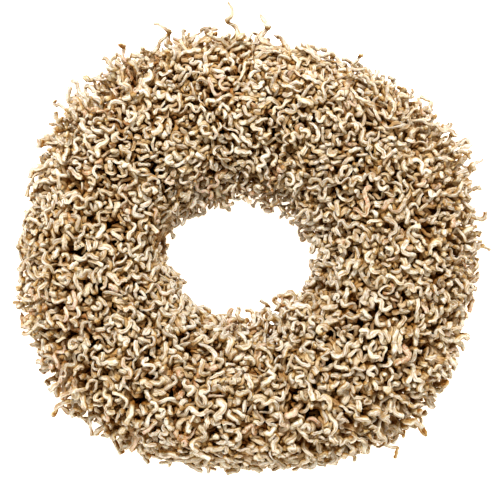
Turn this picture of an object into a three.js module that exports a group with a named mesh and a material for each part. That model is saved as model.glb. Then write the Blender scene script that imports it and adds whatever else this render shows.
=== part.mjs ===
// A wreath of dried, curled maize stalks, stuck all over a ring form with a flat back.
//
// Millimetres, +Z up. The wreath lies on the form's flat back with its front face up, and +Y is
// its top as it hangs. The origin is the centre of the footprint, on that surface.
//
// The form is one half-round ring. The stalks stand on it in twelve bunches, side by side round
// the ring. Each bunch has a low root bed that wraps the form's sides and front, divided into
// cells. A mound in the middle of each cell goes over into one stalk, a three-sided tube along a
// bent line. A stalk that would touch another takes new draws until it lies clear of them all.

import * as THREE from "three";

// Ring form: upright walls under a round crown
const RING_RADIUS = 145;
const FORM_HALF_WIDTH = 32;
const FORM_WALL = 10;
const FORM_CROWN = 34;
const FORM_FLATS = 36;
const FORM_ARC_STEP = 30;

// Angle of the first seam between bunches. One flat of the form's inner wall then faces straight
// down at the top of the wreath, where a hook bears on it.
const FIRST_SEAM = 5;

// Root beds: half axes of the section about the form's heart, and how deep their pits are
const BUNCHES = 12;
const BED_SIDE = 49;
const BED_FRONT = 51;
const BED_PITS = 5;
const BED_CLEARANCE = 0.4;
const BUNCH_GAP = 0.4;

// Cells of a bunch, row by row over the section from the outer edge to the hole. Angles are
// about the heart: 0 points away from the ring's centre, 90 to the front, 180 into the hole.
const OUTER_EDGE = -6;
const INNER_EDGE = 178;
const ROW_COLUMNS = [5, 5, 5, 4, 4, 4, 3, 3, 3];
const ROOT_JITTER = 0.15;

// Outline of the wreath and of its hole: a mean radius with waves round the ring. A wave has its
// number of crests, its size and the angle that its first crest has, times the number.
const OUTLINE = {
  mean: 230,
  waves: [
    { crests: 2, size: 5.6, phase: -5 },
    { crests: 3, size: 2.7, phase: -22 },
    { crests: 4, size: 6.8, phase: 141 },
    { crests: 5, size: 1.9, phase: 138 },
  ],
};
const HOLE = {
  mean: 60,
  waves: [
    { crests: 1, size: 7.3, phase: 189 },
    { crests: 2, size: 6.6, phase: 3 },
    { crests: 4, size: 3.4, phase: -66 },
  ],
};
const REACH_FRONT = 90;

// Long stalks that stand out of the outline, by angle and by reach from the ring's centre
const STRAY_ROW = 1;
const STRAYS = [
  { angle: 22, reach: 246 },
  { angle: 61, reach: 231 },
  { angle: 86, reach: 235 },
  { angle: 94, reach: 248 },
  { angle: 108, reach: 245 },
  { angle: 120, reach: 247 },
  { angle: 138, reach: 243 },
  { angle: 220, reach: 244 },
  { angle: 305, reach: 244 },
  { angle: 314, reach: 247 },
];

// Stalks: three-sided, and bent at every step along them
const STALK_WIDTH = 5.2;
const STALK_SIDES = 3;
const STALK_STEPS = 5;
const SHORT_STEPS = 4;
const FIRST_SHORT_ROW = 6;
const STRAY_STEPS = 7;
const TIP_SHARE = 0.8;
const MOUND_HEIGHT = 2.5;
const MOUND_SHARE = 1.5;
const CURL_RADIUS = 5;
const CURL_LEAST = 0.7;
const CURL_SPREAD = 0.5;
const CURL_GROWTH_STEPS = 1.5;
const TURN_LEAST = 115;
const TURN_SPREAD = 65;
const LENGTH_SHARE = 0.95;
const LENGTH_SPREAD = 0.1;
const LEAN_LEAST = 0.1;
const LEAN_SPREAD = 0.6;
const STRAY_LEAN = 0.15;
const CLEAR_BETWEEN = 1.8;
const LOWEST_BEND = 6.5;
const TRIES = 3000;

// Number of each property that a stalk or a bed corner draws at random
const DRAWS = {
  between: 0,
  over: 1,
  length: 2,
  lean: 3,
  leanTurn: 4,
  curl: 5,
  firstTurn: 6,
  turn: 7,
  hand: 8,
  faceTurn: 9,
  pit: 20,
};
const CORNERS_A_LINE = 10;

const COLOURS = { stalk: 0xd8bd8e, form: 0x4a2f1b };
const ROUGHNESS = { stalk: 0.8, form: 0.95 };

const degrees = THREE.MathUtils.degToRad;
const lerp = THREE.MathUtils.lerp;
const FULL_TURN = 2 * Math.PI;
const BUNCH_ANGLE = FULL_TURN / BUNCHES;
const ROWS = ROW_COLUMNS.length;
const STALK_RADIUS = STALK_WIDTH / Math.sqrt(3);

// A repeatable random number from 0 to 1 for one place, one try and one property
function draw(place, attempt, property) {
  let h = Math.imul(place + 1, 0x9e3779b1);
  h ^= Math.imul(attempt + 1, 0x85ebca6b);
  h ^= Math.imul(property + 1, 0xc2b2ae35);
  h = Math.imul(h ^ (h >>> 15), 0x2c1b3c6d);
  h = Math.imul(h ^ (h >>> 12), 0x297a2d39);
  h ^= h >>> 15;
  return (h >>> 0) / 2 ** 32;
}

const seamAt = (bunch) => degrees(FIRST_SEAM) + bunch * BUNCH_ANGLE;
const rowEdge = (line) => degrees(lerp(OUTER_EDGE, INNER_EDGE, line / ROWS));

// Directions at a place on the ring: along the ring, out of the section and over the section
function frameAt(azimuth, over) {
  const away = new THREE.Vector3(Math.cos(azimuth), Math.sin(azimuth), 0);
  const along = new THREE.Vector3(-Math.sin(azimuth), Math.cos(azimuth), 0);
  const up = new THREE.Vector3(0, 0, 1);
  const out = away.clone().multiplyScalar(Math.cos(over)).addScaledVector(up, Math.sin(over));
  const across = up.clone().multiplyScalar(Math.cos(over)).addScaledVector(away, -Math.sin(over));
  const heart = away.multiplyScalar(RING_RADIUS).addScaledVector(up, FORM_WALL);
  return { along, out, across, heart };
}

// Distance from the middle of an ellipse to its edge
function ellipse(side, front, over) {
  return (side * front) / Math.hypot(front * Math.cos(over), side * Math.sin(over));
}

// How far the form's surface lies from the heart: walls below it, the crown above
function formReach(over, clearance) {
  if (over < 0) return (FORM_HALF_WIDTH + clearance) / Math.cos(over);
  return ellipse(FORM_HALF_WIDTH + clearance, FORM_CROWN + clearance, over);
}

function waved({ mean, waves }, azimuth) {
  return waves.reduce(
    (sum, { crests, size, phase }) => sum + size * Math.cos(crests * azimuth - degrees(phase)),
    mean,
  );
}

// How far from the heart the stalks reach in a direction
function tipReach(azimuth, over) {
  const outside = waved(OUTLINE, azimuth) - RING_RADIUS;
  const inside = RING_RADIUS - waved(HOLE, azimuth);
  return ellipse(Math.cos(over) > 0 ? outside : inside, REACH_FRONT, over) - STALK_RADIUS;
}

// How many steps a line of the bed's corners takes across a bunch
function lineSteps(line) {
  return Math.max(ROW_COLUMNS[line - 1] ?? 0, ROW_COLUMNS[line] ?? 0);
}

// All cells, each with the stretch of corners that it takes from the lines on its two sides
function layCells() {
  const cells = [];
  for (let bunch = 0; bunch < BUNCHES; bunch += 1) {
    ROW_COLUMNS.forEach((columns, row) => {
      for (let column = 0; column < columns; column += 1) {
        const stretch = (line) =>
          [column, column + 1].map((c) => Math.round((c * lineSteps(line)) / columns));
        cells.push({ bunch, row, first: stretch(row), second: stretch(row + 1), place: cells.length });
      }
    });
  }
  return cells;
}

// The stalk of a cell: a line of points, bent at each, that leans over as it grows. The bends
// wind round the lean: near half a turn apart they zigzag, near a third they curl.
function stalkLine(cell, attempt) {
  const random = (property) => draw(cell.place, attempt, property);
  const spread = (property) => 2 * random(property) - 1;
  const edges = [
    ...cell.first.map((i) => i / lineSteps(cell.row)),
    ...cell.second.map((i) => i / lineSteps(cell.row + 1)),
  ];
  const middle = edges.reduce((sum, e) => sum + e, 0) / edges.length;
  const width = (edges[1] - edges[0] + edges[3] - edges[2]) / 2;
  const low = seamAt(cell.bunch) + BUNCH_ANGLE * (middle - width / 2);
  const high = low + BUNCH_ANGLE * width;
  const stray = STRAYS.find(
    ({ angle }) => cell.row === STRAY_ROW && degrees(angle) >= low && degrees(angle) < high,
  );

  const between = stray
    ? (degrees(stray.angle) - low) / (high - low)
    : 0.5 + ROOT_JITTER * spread(DRAWS.between);
  const held = THREE.MathUtils.clamp(between, 0.5 - ROOT_JITTER, 0.5 + ROOT_JITTER);
  const azimuth = lerp(low, high, held);
  const row = cell.row + 0.5 + ROOT_JITTER * spread(DRAWS.over);
  const over = rowEdge(row);
  const { along, out, across, heart } = frameAt(azimuth, over);
  const root = ellipse(BED_SIDE, BED_FRONT, over) + MOUND_HEIGHT;
  const share = LENGTH_SHARE + LENGTH_SPREAD * spread(DRAWS.length);
  const wanted = stray ? (stray.reach - STALK_RADIUS - RING_RADIUS) / Math.cos(over) : 0;
  const rise = stray ? wanted - root : (tipReach(azimuth, over) - root) * share;

  const lean = stray ? STRAY_LEAN : LEAN_LEAST + LEAN_SPREAD * random(DRAWS.lean);
  const leanTurn = FULL_TURN * random(DRAWS.leanTurn);
  const curl = CURL_RADIUS * (CURL_LEAST + CURL_SPREAD * random(DRAWS.curl));
  const firstTurn = FULL_TURN * random(DRAWS.firstTurn);
  const hand = random(DRAWS.hand) < 0.5 ? -1 : 1;
  const turn = degrees(TURN_LEAST + TURN_SPREAD * random(DRAWS.turn)) * hand;
  const usual = cell.row < FIRST_SHORT_ROW ? STALK_STEPS : SHORT_STEPS;
  const steps = stray ? STRAY_STEPS : usual;
  const points = [];
  for (let k = 0; k <= steps; k += 1) {
    const height = (rise * k) / steps;
    const leant = (lean * height * height) / rise;
    const grown = curl * Math.min(1, k / CURL_GROWTH_STEPS);
    const bend = firstTurn + turn * k;
    const shiftAlong = grown * Math.cos(bend) + leant * Math.cos(leanTurn);
    const shiftAcross = grown * Math.sin(bend) + leant * Math.sin(leanTurn);
    points.push(
      heart
        .clone()
        .addScaledVector(out, root + height)
        .addScaledVector(along, shiftAlong)
        .addScaledVector(across, shiftAcross),
    );
  }
  return { points, out, along, across, faceTurn: FULL_TURN * random(DRAWS.faceTurn) };
}

// Shortest distance between two straight stretches
function stretchDistance(p0, p1, q0, q1) {
  const p = p1.clone().sub(p0);
  const q = q1.clone().sub(q0);
  const between = p0.clone().sub(q0);
  const pp = p.dot(p);
  const qq = q.dot(q);
  const pq = p.dot(q);
  const skew = Math.max(pp * qq - pq * pq, 1e-9);
  const clamp = (value) => Math.min(1, Math.max(0, value));
  const s = clamp((pq * q.dot(between) - qq * p.dot(between)) / skew);
  const t = clamp((pq * s + q.dot(between)) / qq);
  const sAgain = clamp((pq * t - p.dot(between)) / pp);
  return between.addScaledVector(p, sAgain).addScaledVector(q, -t).length();
}

// Whether a stalk is clear of the floor, of itself and of every stalk already placed
function isClear(line, placed) {
  const apart = 2 * STALK_RADIUS + CLEAR_BETWEEN;
  const touches = (a, i, b, j) =>
    stretchDistance(a.points[i], a.points[i + 1], b.points[j], b.points[j + 1]) < apart;
  if (line.points.some((p) => p.z < LOWEST_BEND)) return false;
  const last = line.points.length - 1;
  for (let i = 0; i < last; i += 1) {
    for (let j = i + 2; j < last; j += 1) {
      if (touches(line, i, line, j)) return false;
    }
    for (const other of placed) {
      const stretch = line.points[i].distanceTo(line.points[i + 1]);
      const near = line.points[i].distanceTo(other.middle) < other.half + stretch + apart;
      for (let j = 0; near && j < other.points.length - 1; j += 1) {
        if (touches(line, i, other, j)) return false;
      }
    }
  }
  return true;
}

// Grows every cell's stalk in turn. The row with the strays goes first, while there is room.
function growStalks(cells) {
  const placed = [];
  const strayRow = cells.filter(({ row }) => row === STRAY_ROW);
  const otherRows = cells.filter(({ row }) => row !== STRAY_ROW);
  for (const cell of [...strayRow, ...otherRows]) {
    for (let attempt = 0; !cell.stalk; attempt += 1) {
      if (attempt === TRIES) throw new Error(`no room for the stalk of cell ${cell.place}`);
      const line = stalkLine(cell, attempt);
      if (isClear(line, placed)) {
        const ball = new THREE.Sphere().setFromPoints(line.points);
        placed.push({ ...line, middle: ball.center, half: ball.radius });
        cell.stalk = line;
      }
    }
  }
}

// The vertices and triangles of one closed surface
class Surface {
  constructor() {
    this.vertices = [];
    this.triangles = [];
  }

  add(point) {
    this.vertices.push(point);
    return this.vertices.length - 1;
  }

  face(a, b, c) {
    this.triangles.push(a, b, c);
  }

  // Fills the band between two lines of vertices that run the same way, each with its vertices'
  // places along it. Seen from outside, the second line lies to the left of the first.
  band(first, second) {
    let i = 0;
    let j = 0;
    while (i < first.length - 1 || j < second.length - 1) {
      const nextFirst = i < first.length - 1 ? first[i].at + first[i + 1].at : Infinity;
      const nextSecond = j < second.length - 1 ? second[j].at + second[j + 1].at : Infinity;
      if (nextFirst <= nextSecond) {
        this.face(first[i].index, first[i + 1].index, second[j].index);
        i += 1;
      } else {
        this.face(first[i].index, second[j + 1].index, second[j].index);
        j += 1;
      }
    }
  }

  geometry() {
    const positions = this.vertices.flatMap((v) => v.toArray());
    const made = new THREE.BufferGeometry();
    made.setAttribute("position", new THREE.Float32BufferAttribute(positions, 3));
    made.setIndex(this.triangles);
    made.computeVertexNormals();
    return made;
  }
}

// A tube along a stalk. Its first ring is the mound's wide rim. Every other ring is the one
// before it, slid along the straight stretch to the plane that halves the bend.
function growTube(surface, { points, out, along, faceTurn }) {
  const last = points.length - 1;
  const ways = points.slice(1).map((p, k) => p.clone().sub(points[k]).normalize());
  const section = (way, radius, middle) => {
    const side = along.clone().addScaledVector(way, -along.dot(way)).normalize();
    const other = way.clone().cross(side);
    return Array.from({ length: STALK_SIDES }, (_, m) => {
      const angle = faceTurn + (FULL_TURN * m) / STALK_SIDES;
      return middle
        .clone()
        .addScaledVector(side, radius * Math.cos(angle))
        .addScaledVector(other, radius * Math.sin(angle));
    });
  };
  const rings = [section(out, STALK_RADIUS * MOUND_SHARE, points[0])];
  let corners = section(ways[0], STALK_RADIUS, points[0]);
  for (let k = 1; k <= last; k += 1) {
    const way = ways[k - 1];
    const plane = k < last ? way.clone().add(ways[k]) : way;
    corners = corners.map((corner) => {
      const slide = points[k].clone().sub(corner).dot(plane) / way.dot(plane);
      return corner.clone().addScaledVector(way, slide);
    });
    rings.push(corners);
  }
  rings[last] = rings[last].map((corner) => corner.lerp(points[last], 1 - TIP_SHARE));
  const made = rings.map((ring) => ring.map((corner) => surface.add(corner)));
  for (let k = 0; k < last; k += 1) {
    for (let m = 0; m < STALK_SIDES; m += 1) {
      const n = (m + 1) % STALK_SIDES;
      surface.face(made[k][m], made[k][n], made[k + 1][n]);
      surface.face(made[k][m], made[k + 1][n], made[k + 1][m]);
    }
  }
  surface.face(...made[last]);
  return made[0];
}

// One cell: its corners, and the mound between them that the stalk grows out of
function growCell(surface, corners, stalk) {
  const root = stalk.points[0];
  const placeOf = (index, from) => {
    const way = surface.vertices[index].clone().sub(root);
    const angle = Math.atan2(way.dot(stalk.across), way.dot(stalk.along));
    return { index, at: from + THREE.MathUtils.euclideanModulo(angle - from, FULL_TURN) };
  };
  const closed = (indices, from) => {
    const loop = indices.map((index) => placeOf(index, from)).sort((a, b) => a.at - b.at);
    return [...loop, { index: loop[0].index, at: loop[0].at + FULL_TURN }];
  };
  const rim = growTube(surface, stalk);
  const edge = closed(corners, -Math.PI);
  surface.band(edge, closed(rim, edge[0].at - Math.PI / STALK_SIDES));
}

// A vertex on an end section moves in by half the gap to the next bunch
function trimmed(point, along, share) {
  const shift = share === 0 ? BUNCH_GAP / 2 : share === 1 ? -BUNCH_GAP / 2 : 0;
  return point.addScaledVector(along, shift);
}

// A line of vertices across a bunch, at one angle over the section
function lineAcross(surface, bunch, steps, over, reachAt) {
  return Array.from({ length: steps + 1 }, (_, i) => {
    const share = i / steps;
    const { out, along, heart } = frameAt(seamAt(bunch) + share * BUNCH_ANGLE, over);
    const point = heart.addScaledVector(out, reachAt(i));
    return { index: surface.add(trimmed(point, along, share)), at: share };
  });
}

// One bunch: its seat on the form, its root bed and its stalks
function bunchOf(number, cells) {
  const surface = new Surface();
  const seatAngles = [degrees(OUTER_EDGE)];
  for (let angle = 0; angle < INNER_EDGE; angle += FORM_ARC_STEP) seatAngles.push(degrees(angle));
  seatAngles.push(degrees(INNER_EDGE));
  const seat = seatAngles.map((over) =>
    lineAcross(surface, number, FORM_FLATS / BUNCHES, over, () => formReach(over, BED_CLEARANCE)),
  );
  const bed = [];
  for (let line = 0; line <= ROWS; line += 1) {
    const over = rowEdge(line);
    const pits = line === 0 || line === ROWS ? 0 : BED_PITS;
    bed.push(
      lineAcross(surface, number, lineSteps(line), over, (i) => {
        const place = (number * (ROWS + 1) + line) * CORNERS_A_LINE + i;
        return ellipse(BED_SIDE, BED_FRONT, over) - pits * draw(place, 0, DRAWS.pit);
      }),
    );
  }

  for (const cell of cells.filter(({ bunch }) => bunch === number)) {
    const near = bed[cell.row].slice(cell.first[0], cell.first[1] + 1);
    const far = bed[cell.row + 1].slice(cell.second[0], cell.second[1] + 1).reverse();
    growCell(
      surface,
      [...near, ...far].map(({ index }) => index),
      cell.stalk,
    );
  }
  for (let line = 1; line < seat.length; line += 1) surface.band(seat[line], seat[line - 1]);
  surface.band(seat[0], bed[0]);
  surface.band(bed[ROWS], seat[seat.length - 1]);
  const endOf = (lines, angles, end) =>
    lines.map((line, i) => ({ index: line.at(end).index, at: angles[i] }));
  const bedAngles = bed.map((_, line) => rowEdge(line));
  surface.band(endOf(bed, bedAngles, 0), endOf(seat, seatAngles, 0));
  surface.band(endOf(seat, seatAngles, -1), endOf(bed, bedAngles, -1));
  return surface.geometry();
}

// The ring form, its section turned about the ring's axis
function ringForm() {
  const section = [new THREE.Vector2(RING_RADIUS + FORM_HALF_WIDTH, 0)];
  for (let angle = 0; angle <= 180; angle += FORM_ARC_STEP) {
    const reach = formReach(degrees(angle), 0);
    const across = RING_RADIUS + reach * Math.cos(degrees(angle));
    section.push(new THREE.Vector2(across, FORM_WALL + reach * Math.sin(degrees(angle))));
  }
  section.push(new THREE.Vector2(RING_RADIUS - FORM_HALF_WIDTH, 0), section[0].clone());
  return new THREE.LatheGeometry(section, FORM_FLATS, degrees(FIRST_SEAM)).rotateX(Math.PI / 2);
}

function piece(name, geometry, colour, roughness) {
  const material = new THREE.MeshStandardMaterial({ color: colour, roughness, metalness: 0 });
  const mesh = new THREE.Mesh(geometry, material);
  mesh.name = name;
  return mesh;
}

const cells = layCells();
growStalks(cells);

const wreath = new THREE.Group();
wreath.add(piece("ring_form", ringForm(), COLOURS.form, ROUGHNESS.form));
for (let number = 0; number < BUNCHES; number += 1) {
  const name = `stalk_bunch_${String(number + 1).padStart(2, "0")}`;
  wreath.add(piece(name, bunchOf(number, cells), COLOURS.stalk, ROUGHNESS.stalk));
}

// The long stalks at the top shift the footprint's middle off the ring's
const footprint = new THREE.Box3().setFromObject(wreath);
const middle = footprint.getCenter(new THREE.Vector3());
wreath.position.set(-middle.x, -middle.y, 0);

export default wreath;
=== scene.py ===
# %% [markdown]
# # A maize stalk wreath
#
# The real wreath is a ring of pressed straw with a flat back. About three thousand dried, curled
# strips of maize stalk stand on it, all round its sides and front. Each strip is five or six
# millimetres wide, cream on its crests and brown at its edges, and bent like a noodle.
#
# The solids that are loaded here hold the ring form and the 432 largest stalks, each one a
# three-sided tube. This script keeps every one of them where it is, rounds it, and puts the rest
# of the stalks between them.

# %% Load the fixed solids
import math

import bpy
import numpy as np
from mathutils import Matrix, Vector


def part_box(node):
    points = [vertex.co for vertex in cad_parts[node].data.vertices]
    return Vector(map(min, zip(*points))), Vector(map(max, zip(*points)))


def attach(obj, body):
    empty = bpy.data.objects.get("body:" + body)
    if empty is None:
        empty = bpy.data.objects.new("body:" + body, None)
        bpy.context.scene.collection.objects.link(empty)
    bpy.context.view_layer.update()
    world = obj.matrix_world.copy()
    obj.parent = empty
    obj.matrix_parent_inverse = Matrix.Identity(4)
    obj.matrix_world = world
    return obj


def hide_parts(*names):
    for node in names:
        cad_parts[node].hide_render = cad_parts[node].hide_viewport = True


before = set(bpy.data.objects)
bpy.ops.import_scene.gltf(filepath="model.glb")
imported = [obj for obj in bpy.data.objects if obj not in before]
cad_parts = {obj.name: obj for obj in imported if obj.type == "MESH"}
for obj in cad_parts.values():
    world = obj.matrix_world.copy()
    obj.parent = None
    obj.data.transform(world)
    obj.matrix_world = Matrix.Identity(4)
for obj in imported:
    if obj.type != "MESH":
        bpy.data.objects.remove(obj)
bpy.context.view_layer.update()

# %% [markdown]
# ## The ring in numbers
#
# All lengths in this script are millimetres, as on a maker's drawing, and are turned into metres
# only when a mesh is made. The ring's middle comes from the loaded form. The half sizes are the
# form's own, so that stalks grow from the right place.

# %% Sizes of the ring, its root bed and its outline
MM = 0.001
low_corner, high_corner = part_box("ring_form")
RING_MIDDLE = np.array([(low_corner.x + high_corner.x) / 2, (low_corner.y + high_corner.y) / 2, 0]) / MM
RING_RADIUS = 145
FORM_HALF_WIDTH = 32
FORM_WALL = 10
FORM_CROWN = 34
FIRST_SEAM = math.radians(5)
BUNCHES = 12
BUNCH_ANGLE = 2 * math.pi / BUNCHES
BED_SIDE = 49
BED_FRONT = 51
OUTER_EDGE = -6
INNER_EDGE = 178
REACH_FRONT = 90
STALK_RADIUS = 5.2 / math.sqrt(3)
OUTLINE = (230, [(2, 5.6, -5), (3, 2.7, -22), (4, 6.8, 141), (5, 1.9, 138)])
HOLE = (60, [(1, 7.3, 189), (2, 6.6, 3), (4, 3.4, -66)])


def unit(vectors):
    """Vectors over their lengths."""
    return vectors / np.linalg.norm(vectors, axis=-1, keepdims=True)


def ellipse(side, front, over):
    """Distance from an ellipse's middle to its edge: both half axes multiplied, over the
    hypotenuse of front times cosine and side times sine of the angle."""
    return side * front / np.hypot(front * np.cos(over), side * np.sin(over))


def waved(outline, azimuth):
    """A mean radius plus a cosine wave for each number of crests round the ring."""
    mean, waves = outline
    total = mean
    for crests, size, phase in waves:
        total = total + size * np.cos(crests * azimuth - math.radians(phase))
    return total


def tip_reach(azimuth, over, outline=OUTLINE, hole=HOLE):
    """How far stalks reach from the section's heart: an ellipse, as wide as the wreath's outline
    on its outer half and as the hole's on its inner half."""
    outside = waved(outline, azimuth) - RING_RADIUS
    inside = RING_RADIUS - waved(hole, azimuth)
    side = np.where(np.cos(over) > 0, outside, inside)
    return ellipse(side, REACH_FRONT, over) - STALK_RADIUS


def frame_at(azimuth, over):
    """Directions along the ring, out of the section and over it, and the section's heart, for
    arrays of places. Out is the way from the ring's middle turned up by the angle over."""
    zero = np.zeros_like(azimuth)
    away = np.stack([np.cos(azimuth), np.sin(azimuth), zero], -1)
    along = np.stack([-np.sin(azimuth), np.cos(azimuth), zero], -1)
    up = np.array([0.0, 0.0, 1.0])
    cosine = np.cos(over)[..., None]
    sine = np.sin(over)[..., None]
    out = away * cosine + up * sine
    across = up * cosine - away * sine
    heart = away * RING_RADIUS + up * FORM_WALL + RING_MIDDLE
    return along, out, across, heart


def ring_place(points):
    """Angle round the ring, angle over the section and distance from the section's heart."""
    x, y, z = np.moveaxis(points - RING_MIDDLE, -1, 0)
    azimuth = np.arctan2(y, x)
    aside = np.hypot(x, y) - RING_RADIUS
    over = np.arctan2(z - FORM_WALL, aside)
    return azimuth, over, np.hypot(aside, z - FORM_WALL)


print("ring middle in mm:", np.round(RING_MIDDLE, 2))

# %% [markdown]
# ## The 432 stalks of the solids
#
# A seeded rule bends each of these stalks. The same rule is worked through again here, so every
# stalk comes out where its solid is. A stalk is a short list of bends: it rises from its root,
# leans over with the square of its height, and each bend is turned round that lean. Half a turn
# between bends makes a zigzag, a third of a turn makes a curl. A stalk that would come too close
# to one already there takes new draws.
#
# The draws come from a small integer hash and not from a random module, because the same numbers
# then come out in any language.

# %% The rule for the solids' stalks
ROW_COLUMNS = [5, 5, 5, 4, 4, 4, 3, 3, 3]
ROWS = len(ROW_COLUMNS)
ROOT_JITTER = 0.15
MIDDLE_PART = (0.35, 0.65)
STRAY_ROW = 1
STRAYS = [(22, 246), (61, 231), (86, 235), (94, 248), (108, 245), (120, 247), (138, 243), (220, 244),
          (305, 244), (314, 247)]
STALK_STEPS = 5
SHORT_COLUMNS = 3
SHORT_STEPS = 4
STRAY_STEPS = 7
MOUND_HEIGHT = 2.5
CURL_RADIUS = 5
CURL_LEAST = 0.7
CURL_SPREAD = 0.5
CURL_GROWS = 1.5
TURN_LEAST = 115
TURN_SPREAD = 65
LENGTH_SHARE = 0.95
LENGTH_SPREAD = 0.1
LEAN_LEAST = 0.1
LEAN_SPREAD = 0.6
STRAY_LEAN = 0.15
APART = 2 * STALK_RADIUS + 1.8
NEIGHBOURS = 140
LOWEST_BEND = 6.5
PARALLEL = 1e-9
WORD = 0xFFFFFFFF
MIXERS = (0x9E3779B1, 0x85EBCA6B, 0xC2B2AE35)
STIRRERS = ((15, 0x2C1B3C6D), (12, 0x297A2D39))
LAST_SHIFT = 15
ROOT_AROUND, ROOT_OVER, LENGTH, LEAN, LEAN_TURN, CURL, FIRST_TURN, TURN, TURN_SIDE = range(9)


def draw(place, attempt, tag):
    """A number from 0 to 1: three products are mixed by exclusive or, shifts and two more."""
    mixed = 0
    for number, mixer in zip((place, attempt, tag), MIXERS):
        mixed ^= ((number + 1) * mixer) & WORD
    for shift, mixer in STIRRERS:
        mixed = ((mixed ^ (mixed >> shift)) * mixer) & WORD
    return (mixed ^ (mixed >> LAST_SHIFT)) / (WORD + 1)


def line_steps(line):
    """How many steps the bed's corners take across a bunch, the larger of the rows beside."""
    beside = ROW_COLUMNS[max(line - 1, 0):line + 1]
    return max(beside)


def row_edge(line):
    """Angle over the section of a row's edge, in equal steps from the outer edge to the inner."""
    share = line / ROWS
    return math.radians((1 - share) * OUTER_EDGE + share * INNER_EDGE)


def lay_cells():
    """Every cell as (place, row, low angle, high angle round the ring)."""
    cells = []
    for bunch in range(BUNCHES):
        for row, columns in enumerate(ROW_COLUMNS):
            for column in range(columns):
                edges = []
                for line in (row, row + 1):
                    steps = line_steps(line)
                    edges += [math.floor(c * steps / columns + 0.5) / steps for c in (column, column + 1)]
                middle = sum(edges) / 4
                width = (edges[1] - edges[0] + edges[3] - edges[2]) / 2
                low = FIRST_SEAM + bunch * BUNCH_ANGLE + BUNCH_ANGLE * (middle - width / 2)
                cells.append((len(cells), row, low, low + BUNCH_ANGLE * width))
    return cells


def stalk_bends(cell, attempt):
    """The bends of one stalk: root plus height along out, plus a curl that turns by the same
    angle at each bend, plus a lean that grows with the square of the height."""
    place, row, low, high = cell

    def spread(tag):
        return 2 * draw(place, attempt, tag) - 1

    stray = [s for s in STRAYS if row == STRAY_ROW and low <= math.radians(s[0]) < high]
    between = 0.5 + ROOT_JITTER * spread(ROOT_AROUND)
    if stray:
        between = (math.radians(stray[0][0]) - low) / (high - low)
    between = min(max(between, MIDDLE_PART[0]), MIDDLE_PART[1])
    azimuth = (1 - between) * low + between * high
    over = row_edge(row + 0.5 + ROOT_JITTER * spread(ROOT_OVER))
    along, out, across, heart = frame_at(np.array(azimuth), np.array(over))
    root = ellipse(BED_SIDE, BED_FRONT, over) + MOUND_HEIGHT
    share = LENGTH_SHARE + LENGTH_SPREAD * spread(LENGTH)
    if stray:
        rise = (stray[0][1] - STALK_RADIUS - RING_RADIUS) / math.cos(over) - root
        lean = STRAY_LEAN
        steps = STRAY_STEPS
    else:
        rise = (float(tip_reach(azimuth, over)) - root) * share
        lean = LEAN_LEAST + LEAN_SPREAD * draw(place, attempt, LEAN)
        steps = SHORT_STEPS if ROW_COLUMNS[row] == SHORT_COLUMNS else STALK_STEPS
    lean_turn = 2 * math.pi * draw(place, attempt, LEAN_TURN)
    curl = CURL_RADIUS * (CURL_LEAST + CURL_SPREAD * draw(place, attempt, CURL))
    first_turn = 2 * math.pi * draw(place, attempt, FIRST_TURN)
    turn = math.radians(TURN_LEAST + TURN_SPREAD * draw(place, attempt, TURN))
    turn *= -1 if draw(place, attempt, TURN_SIDE) < 0.5 else 1
    k = np.arange(steps + 1)
    height = rise * k / steps
    leant = lean * height * height / rise
    grown = curl * np.minimum(1, k / CURL_GROWS)
    shift_along = grown * np.cos(first_turn + turn * k) + leant * math.cos(lean_turn)
    shift_across = grown * np.sin(first_turn + turn * k) + leant * math.sin(lean_turn)
    return (heart + (root + height)[:, None] * out + shift_along[:, None] * along
            + shift_across[:, None] * across)


def stretch_distances(p0, p1, q0, q1):
    """Shortest distances between straight stretches: the nearest place on one is found for the
    other, held to its ends, and the first is then found again for that."""
    p = p1 - p0
    q = q1 - q0
    between = p0 - q0
    pp = (p * p).sum(-1)
    qq = (q * q).sum(-1)
    pq = (p * q).sum(-1)
    pb = (p * between).sum(-1)
    qb = (q * between).sum(-1)
    s = np.clip((pq * qb - qq * pb) / np.maximum(pp * qq - pq * pq, PARALLEL), 0, 1)
    t = np.clip((pq * s + qb) / qq, 0, 1)
    s = np.clip((pq * t - pb) / pp, 0, 1)
    return np.linalg.norm(between + p * s[..., None] - q * t[..., None], axis=-1)


def is_clear(bends, starts, ends):
    """Whether a stalk clears the surface below, itself and the stretches already placed."""
    if (bends[:, 2] < LOWEST_BEND).any():
        return False
    first = bends[:-1]
    second = bends[1:]
    i, j = np.triu_indices(len(first), 2)
    if (stretch_distances(first[i], second[i], first[j], second[j]) < APART).any():
        return False
    near = np.abs(starts - bends[0]).max(-1) < NEIGHBOURS
    apart = stretch_distances(first[:, None], second[:, None], starts[near], ends[near])
    return not (apart < APART).any()


def grow_solid_stalks():
    """Grows the stray row and then the others, cell by cell, as the solids were grown."""
    cells = lay_cells()
    ordered = [c for c in cells if c[1] == STRAY_ROW] + [c for c in cells if c[1] != STRAY_ROW]
    starts = np.empty((0, 3))
    ends = np.empty((0, 3))
    stalks = []
    for cell in ordered:
        attempt = 0
        bends = stalk_bends(cell, attempt)
        while not is_clear(bends, starts, ends):
            attempt += 1
            bends = stalk_bends(cell, attempt)
        starts = np.concatenate([starts, bends[:-1]])
        ends = np.concatenate([ends, bends[1:]])
        stalks.append(bends)
    return stalks


solid_stalks = grow_solid_stalks()
print("stalks of the solids:", len(solid_stalks))

# %% [markdown]
# ## The other stalks
#
# The real stalks stand about eight millimetres apart, so some 2,400 more grow between those of
# the solids. One way is to scatter a few copied curls, but the eye soon finds a copy. Here each
# stalk is its own line, and all of them are worked out together, as one array. First comes a
# root for each, on a grid that is shifted at random.

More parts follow.
